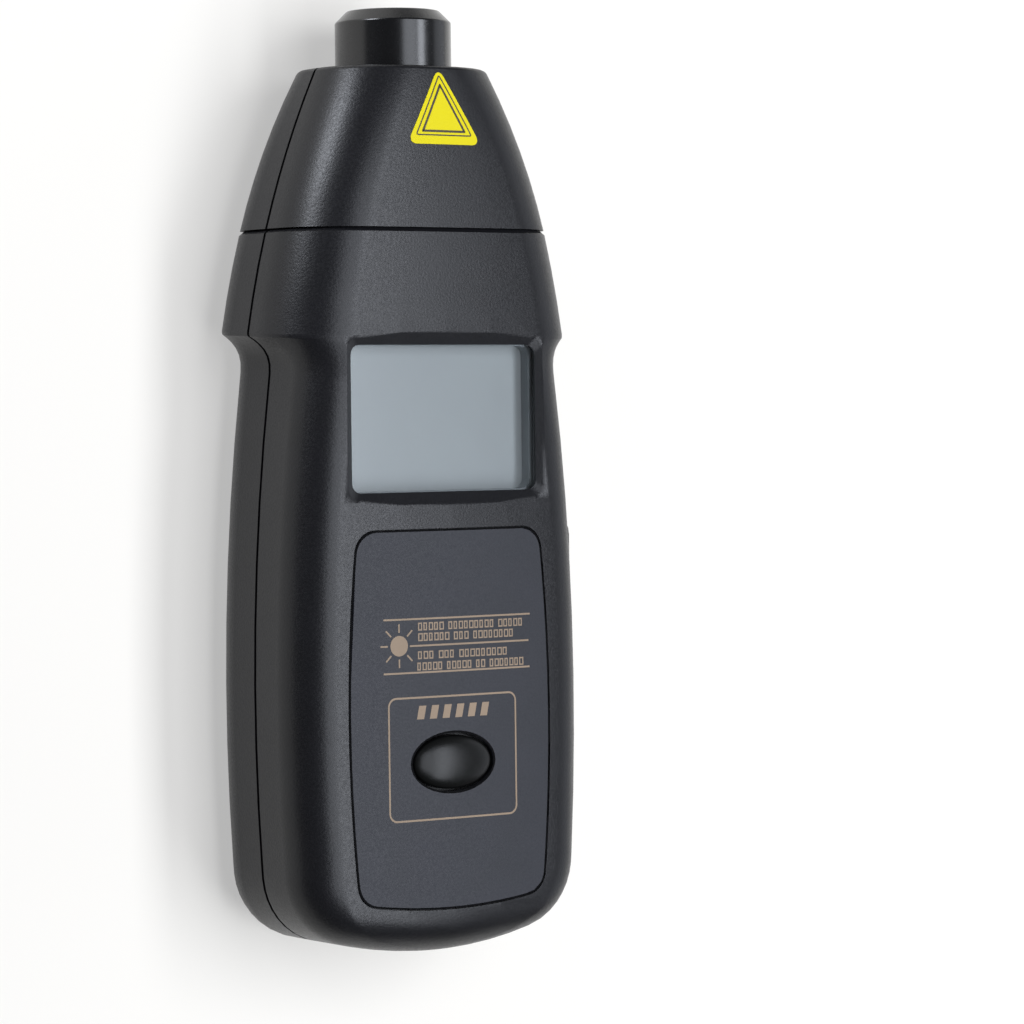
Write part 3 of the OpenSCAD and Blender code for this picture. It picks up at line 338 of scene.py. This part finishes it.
# The rolled edge takes the black painted shade
for face in groove:
    face.material_index = 1
for vert in border:
    vert.co.z -= EDGE_DROP
cut_across(sheet, CASE_WIDTH, STRIPS)
sheet.normal_update()
printed = [face for face in sheet.faces if face.material_index == 0 and face.normal.z > LOOKS_UP]
for vert in {vert for face in printed for vert in face.verts}:
    vert.co.z = crown(vert.co.x)
sheet.normal_update()
soften(sheet, SHEET_CREASE)
sheet.to_mesh(panel.data)
sheet.free()
# Bronze ink: a pale warm line that stands out from the sheet
bronze_ink = grained("bronze_screen_ink", ("#887662", "#95816c"), (0.5, 0.6), 0.3, 0.002,
                     Specular_IOR_Level=0.3)
# How far the ink stands up from the sheet, and its own thickness, which ends just above the sheet
INK_LIFT, INK_THICKNESS = 0.03 * MM, 0.027 * MM


def bar(bm, x, y, width, height):
    """A flat printed bar, its middle at x, y in millimetres."""
    made = bmesh.ops.create_grid(bm, x_segments=max(1, round(width / 2)), y_segments=1, size=0.5)
    for vert in made["verts"]:
        vert.co = Vector((x + vert.co.x * width, y + vert.co.y * height, 0)) * MM
    return made["verts"]


def box_corners(left, right, low, high):
    """The four corners of an upright box."""
    return (left, low), (right, low), (right, high), (left, high)


def join(part, whole):
    """Adds one bmesh to another, and frees it."""
    mesh = bpy.data.meshes.new("joined")
    part.to_mesh(mesh)
    part.free()
    whole.from_mesh(mesh)
    bpy.data.meshes.remove(mesh)


def outline(bm, corners, rounding=0, line=0, index=0):
    """Adds a flat field with corners in millimetres and, where a line is given, only its border."""
    flat = bmesh.new()
    verts = [flat.verts.new(Vector((x, y, 0)) * MM) for x, y in corners]
    flat.faces.new(verts)
    if rounding:
        bmesh.ops.bevel(flat, geom=verts, offset=rounding * MM, affect="VERTICES", segments=8, profile=0.5,
                        material=-1)
    flat.normal_update()
    if line:
        field = flat.faces[:]
        bmesh.ops.inset_individual(flat, faces=field, thickness=line * MM, use_even_offset=True)
        bmesh.ops.delete(flat, geom=field, context="FACES_ONLY")
    for face in flat.faces:
        face.material_index = index
    join(flat, bm)


def thicken(bm, thickness):
    """Turns the faces of a thin print upwards and gives it a thickness below them."""
    for face in bm.faces:
        face.normal_update()
        if face.normal.z < 0:
            face.normal_flip()
    bmesh.ops.solidify(bm, geom=bm.faces[:], thickness=thickness)


ink = bmesh.new()
# Three rules, as left end, right end and level
RULES = ((-16.3, 19.5, -27.5), (-10.2, 19.1, -32.85), (-16.4, 19.3, -38.2))
RULE_LINE = 0.36
for left, right, level in RULES:
    bar(ink, (left + right) / 2, level, right - left, RULE_LINE)
# Sun sign: a disc with short rays that stand clear of it, on all sides but that of the middle rule
SUN = Vector((-12.7, -32.75, 0)) * MM
SUN_RADIUS = 2.05 * MM
RAYS, RAY_MIDDLE, RAY_LENGTH, RAY_LINE = 8, 3.5, 1.7, 0.34
disc = bmesh.ops.create_circle(ink, cap_ends=True, segments=40, radius=SUN_RADIUS)
bmesh.ops.translate(ink, verts=disc["verts"], vec=SUN)
for k in range(1, RAYS):
    ray = bar(ink, RAY_MIDDLE, 0, RAY_LENGTH, RAY_LINE)
    bmesh.ops.rotate(ink, verts=ray, matrix=Matrix.Rotation(math.tau * k / RAYS, 3, "Z"))
    bmesh.ops.translate(ink, verts=ray, vec=SUN)
# Four rows of plain hollow boxes: level, left end, right end and the boxes in each group
ROWS = ((-29.05, -8.2, 17.8, (5, 9, 5)), (-31.15, -8.2, 15.4, (6, 3, 8)),
        (-34.75, -8.3, 13.8, (3, 3, 9)), (-37.0, -8.5, 17.9, (5, 5, 2, 7)))
MARK_HEIGHT, MARK_LINE = 1.6, 0.27
# The space between groups, and the widths that the boxes take in turn, as shares of a box's pitch
GROUP_SPACE = 0.7
mark_widths = cycle((0.76, 0.68, 0.82, 0.72, 0.86))
for level, left, right, groups in ROWS:
    pitch = (right - left) / (sum(groups) + GROUP_SPACE * (len(groups) - 1))
    for count in groups:
        for k in range(count):
            mark = box_corners(left, left + next(mark_widths) * pitch, level - MARK_HEIGHT / 2,
                               level + MARK_HEIGHT / 2)
            outline(ink, mark, line=MARK_LINE)
            left += pitch
        left += GROUP_SPACE * pitch
# Six slanted blocks over the button
BLOCKS, BLOCK_FROM, BLOCK_PITCH, BLOCK_LEVEL = 6, -7.6, 3.07, -46.2
BLOCK_WIDTH, BLOCK_HEIGHT, BLOCK_SLANT = 1.7, 2.7, 0.22
for k in range(BLOCKS):
    for vert in bar(ink, BLOCK_FROM + BLOCK_PITCH * k, BLOCK_LEVEL, BLOCK_WIDTH, BLOCK_HEIGHT):
        vert.co.x += BLOCK_SLANT * (vert.co.y - BLOCK_LEVEL * MM)
# Rounded frame round the button
FRAME_CORNERS = box_corners(-15.5, 15.7, -67.9, -43.0)
FRAME_ROUNDING, FRAME_LINE = 1.9, 0.38
outline(ink, FRAME_CORNERS, FRAME_ROUNDING, FRAME_LINE)
cut_across(ink, CASE_WIDTH, STRIPS)
for vert in ink.verts:
    vert.co.z = crown(vert.co.x) + INK_LIFT
thicken(ink, INK_THICKNESS)
place_piece("panel_print", ink, "case", [bronze_ink])

# Buttons
# The oval memory button is a smooth black dome that stands a little above the panel. The measuring
# button on the right side is the same polished ABS. Each pushes the plunger of a tactile switch.
# Polished ABS: black, with a soft round glint on the crest
polished_abs = grained("polished_black_abs", ("#0b0b0b", "#0f100f"), (0.29, 0.34), 0.7, 0.001, IOR=1.5,
                       Specular_IOR_Level=0.25)
BUTTON_PLACE = Vector((0, -56.5, 0)) * MM
DOME_LENGTH, DOME_HEIGHT, DOME_RISE = 18.8, 10.8, 2.35
DOME_FOOT, FLANGE_TOP, FLANGE_FOOT, FLANGE_REACH = 36.2, 34.3, 32.9, 1.7
DOME_STEPS = 96
OVAL_CREASE, MEASURE_CREASE = 50, 40
button = bmesh.new()
bmesh.ops.create_uvsphere(button, u_segments=DOME_STEPS, v_segments=DOME_STEPS // 2, radius=1)
bmesh.ops.bisect_plane(button, geom=button.verts[:] + button.edges[:] + button.faces[:], plane_co=(0, 0, 0),
                       plane_no=(0, 0, 1), clear_inner=True, dist=0.0001)
bmesh.ops.scale(button, verts=button.verts, vec=Vector((DOME_LENGTH / 2, DOME_HEIGHT / 2, DOME_RISE)) * MM)
bmesh.ops.translate(button, verts=button.verts, vec=(0, 0, DOME_FOOT * MM))
# Shank down to the flange, out, down its edge, and closed below
loop = [edge for edge in button.edges if edge.is_boundary]
for level, grow in ((FLANGE_TOP, 0), (FLANGE_TOP, FLANGE_REACH), (FLANGE_FOOT, FLANGE_REACH)):
    extruded = bmesh.ops.extrude_edge_only(button, edges=loop)["geom"]
    loop = [item for item in extruded if isinstance(item, bmesh.types.BMEdge)]
    for vert in (item for item in extruded if isinstance(item, bmesh.types.BMVert)):
        turned = math.atan2(vert.co.y / DOME_HEIGHT, vert.co.x / DOME_LENGTH)
        across = (DOME_LENGTH / 2 + grow) * math.cos(turned)
        along = (DOME_HEIGHT / 2 + grow) * math.sin(turned)
        vert.co = Vector((across, along, level)) * MM
bmesh.ops.contextual_create(button, geom=loop)
bmesh.ops.translate(button, verts=button.verts, vec=BUTTON_PLACE)
bmesh.ops.recalc_face_normals(button, faces=button.faces)
soften(button, OVAL_CREASE)
place_piece("memory_button_shown", button, "memory_button", [polished_abs], "memory_button")
from_solid("measure_button", "measure_button", polished_abs, MEASURE_CREASE)
# Nylon: dull tan plungers in dull black switch bodies
tan_nylon = grained("tan_nylon", ("#665d51", "#70675a"), (0.4, 0.5), 0.4, 0.004)
for node, body in (("memory_plunger", "memory_button"), ("measure_plunger", "measure_button")):
    from_solid(node, body, tan_nylon)
switch_black = grained("switch_black_nylon", ("#26282b", "#303236"), (0.45, 0.55), 0.5, 0.005)
for node in ("memory_switch", "measure_switch"):
    from_solid(node, "case", switch_black)

# Electronics
# Glass-fibre boards with a green solder mask, a moulded controller, a plated crystal can and a
# sleeved capacitor, with the optics on their own small board behind the lens tube.
# Solder mask: a glossy bottle green
solder_mask = grained("green_solder_mask", ("#275c3a", "#2f6b45"), (0.3, 0.42), 1.2, 0.01)
for node in ("main_board", "sensor_board"):
    from_solid(node, "case", solder_mask)
# Matt black ABS: it swallows stray light behind the lens
matt_black = grained("matt_black_abs", ("#1c1d20", "#232428"), (0.55, 0.65), 0.5, 0.01, IOR=1.53)
for node in ("lens_ring", "optics_carrier"):
    from_solid(node, "case", matt_black)
# Turned brass: a warm satin ring round the laser
brass = grained("turned_brass", ("#a8854e", "#b8935a"), (0.25, 0.35), 0.4, 0.004, Metallic=1.0)
from_solid("laser_module", "case", brass)
# Filter resin: dark plum, almost black, with a glassy face
filter_resin = grained("dark_filter_resin", ("#2c1f26", "#382830"), (0.15, 0.2), 0.8, 0.002)
from_solid("light_sensor", "case", filter_resin)
# Ribbon vinyl: a dull bone colour
ribbon_vinyl = grained("ribbon_vinyl", ("#c2bdad", "#cdc8b8"), (0.45, 0.55), 0.6, 0.005)
from_solid("sensor_ribbon", "case", ribbon_vinyl)
# Contact rubber: flat dark grey
contact_rubber = grained("contact_rubber", ("#3e3e42", "#505055"), (0.6, 0.7), 0.2, 0.01)
from_solid("lcd_connectors", "case", contact_rubber)
# Moulded epoxy: a dull charcoal block
moulded_epoxy = grained("moulded_epoxy", ("#1a1b1d", "#222326"), (0.5, 0.6), 0.3, 0.01)
from_solid("microcontroller", "case", moulded_epoxy)
# Drawn steel: a bright satin can
drawn_steel = grained("drawn_steel_can", ("#a9abae", "#b6b8ba"), (0.25, 0.35), 0.4, 0.003, Metallic=1.0)
from_solid("clock_crystal", "case", drawn_steel)
# Shrunk sleeve: a smooth dark blue
blue_sleeve = grained("blue_sleeve", ("#22385f", "#2a4470"), (0.3, 0.4), 0.6, 0.004)
from_solid("filter_capacitor", "case", blue_sleeve)

# Battery
# A block battery with a plain lacquered jacket, a vinyl snap on its terminals and two thin leads to
# the main board.
# Lacquered steel: a smooth dark gold
jacket = grained("lacquered_steel_jacket", ("#84632f", "#92703a"), (0.25, 0.35), 0.8, 0.003, Metallic=0.4)
from_solid("battery", "case", jacket)
# Vinyl: dull black on the snap, and red on the leads
soft_vinyl = grained("soft_black_vinyl", ("#1b1b1e", "#242427"), (0.5, 0.6), 0.6, 0.01)
from_solid("battery_snap", "case", soft_vinyl)
red_vinyl = grained("red_wire_vinyl", ("#96201a", "#a82820"), (0.4, 0.5), 0.5, 0.004)
from_solid("battery_leads", "case", red_vinyl)

# Screws
# Zinc plated self-tapping screws, sunk in deep pockets in the back, and smaller ones in the board.
# Each bites into a post of a front moulding.
# Zinc plate: a cool pale grey metal with a satin face
zinc_plate = grained("zinc_plated_steel", ("#96989c", "#a8aaae"), (0.28, 0.4), 0.3, 0.006, Metallic=1.0)
for node in ("case_screws", "board_screws"):
    from_solid(node, "case", zinc_plate)

# Triangle sticker
# A die-cut vinyl sticker on the nose: a bright yellow rounded triangle with a thin and a thick dark
# printed line round a bare middle. It is pressed down on the moulding's curve.
# Yellow vinyl: a strong clean yellow with a slight gloss
yellow_vinyl = grained("yellow_vinyl", ("#d7c801", "#dbcd04"), (0.5, 0.6), 0.6, 0.002,
                       Specular_IOR_Level=0.2)
# Dark ink: a brownish black line
dark_ink = grained("dark_screen_ink", ("#2d2211", "#352916"), (0.45, 0.55), 0.3, 0.002)
STICKER_X = 0.2
# How far the vinyl and its lines stand up from the nose, and the thickness of each
STICKER_LIFT, LINE_LIFT, VINYL_THICKNESS = 0.09 * MM, 0.12 * MM, 0.072 * MM
# Base, tip and half width of each triangle, its corners, its line, its ink and how far it stands up
TRIANGLES = ((67.1, 82.7, 8.9, 2.2, 0, 0, STICKER_LIFT),
             (68.8, 81.3, 6.9, 0.7, 0.26, 1, LINE_LIFT),
             (69.5, 79.5, 5.4, 0.4, 0.46, 1, LINE_LIFT))
# Where the sticker is cut along and across the case, to bend with the nose
BENDS_ALONG = [(67 + 1.6 * k) * MM for k in range(1, 10)]
BENDS_ACROSS = [1.9 * k * MM for k in range(-4, 5)]
ABOVE_NOSE = 60 * MM
nose = bmesh.new()
nose.from_mesh(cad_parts["nose_front"].data)
nose_skin = BVHTree.FromBMesh(nose)
sticker = bmesh.new()
for base, tip, half, rounding, line, index, lift in TRIANGLES:
    layer = bmesh.new()
    triangle = (STICKER_X - half, base), (STICKER_X + half, base), (STICKER_X, tip)
    outline(layer, triangle, rounding, line, index)
    cut_across(layer, CASE_AXIS, BENDS_ALONG)
    cut_across(layer, CASE_WIDTH, BENDS_ACROSS)
    for vert in layer.verts:
        hit = nose_skin.ray_cast(Vector((vert.co.x, vert.co.y, ABOVE_NOSE)), Vector((0, 0, -1)))
        vert.co.z = hit[0].z + lift
    thicken(layer, VINYL_THICKNESS)
    join(layer, sticker)
nose.free()
place_piece("triangle_sticker", sticker, "case", [yellow_vinyl, dark_ink])

# Floor and light
# A plain white table top that takes the shadow. A long key light hangs over the right side and a wide
# one over the middle, with a dim card low on the right, a small one aimed at the nose from the left,
# and a dim even surround.
FLOOR_REACH = 3
# The table is lifted to white where it is seen, by the eye or in gloss and glass, but lights nothing more
FLOOR_LIFT = 0.42
table_top = bmesh.new()
bmesh.ops.create_grid(table_top, x_segments=1, y_segments=1, size=FLOOR_REACH)
floor_mesh = bpy.data.meshes.new("floor")
table_top.to_mesh(floor_mesh)
table_top.free()
floor = bpy.data.objects.new("floor", floor_mesh)
bpy.context.scene.collection.objects.link(floor)
white_table, table_tree, table_shader = new_finish(
    "white_table", Base_Color=linear("#bdb9b1"), Roughness=0.9, Specular_IOR_Level=0.0,
    Emission_Color=linear("#ffffff"))
path = add(table_tree, "ShaderNodeLightPath")
seen = path.outputs["Is Camera Ray"]
for ray_kind in ("Is Glossy Ray", "Is Transmission Ray"):
    either = add(table_tree, "ShaderNodeMath", {0: seen, 1: path.outputs[ray_kind]}, operation="MAXIMUM")
    seen = either.outputs[0]
glow = add(table_tree, "ShaderNodeMath", {0: seen, 1: FLOOR_LIFT}, operation="MULTIPLY")
table_tree.links.new(glow.outputs[0], table_shader.inputs["Emission Strength"])
floor_mesh.materials.append(white_table)
# Daylight lamps, slightly cool
LAMP_COLOUR = (0.88, 0.92, 1.0)
SURROUND_STRENGTH = 0.06


def soft_light(name, angle, distance, size, watts, along=0, turned=0, spread=180):
    """A rectangular light at an angle from straight up towards the right side, in degrees and metres."""
    lamp = bpy.data.lights.new(name, "AREA")
    lamp.shape = "RECTANGLE"
    lamp.size, lamp.size_y = size
    lamp.energy = watts
    lamp.spread = math.radians(spread)
    lamp.color = LAMP_COLOUR
    hung = bpy.data.objects.new(name, lamp)
    bpy.context.scene.collection.objects.link(hung)
    tilt = math.radians(angle)
    hung.location = (distance * math.sin(tilt), along, distance * math.cos(tilt))
    hung.rotation_euler = (0, tilt, math.radians(turned))


soft_light("key_light", 23, 1.1, (0.26, 1.5), 11.5, along=-0.2)
soft_light("top_light", -1, 1.1, (0.5, 1.2), 7.0)
soft_light("right_card", 70, 0.7, (0.4, 1.0), 1.15)
soft_light("nose_card", -80, 0.45, (0.16, 0.3), 0.36, along=0.43, turned=-40, spread=60)
world = bpy.data.worlds.new("dim_surround")
bpy.context.scene.world = world
world.use_nodes = True
surround = world.node_tree.nodes["Background"]
surround.inputs["Color"].default_value = linear("#ffffff")
surround.inputs["Strength"].default_value = SURROUND_STRENGTH
bpy.context.scene.view_settings.view_transform = "Standard"
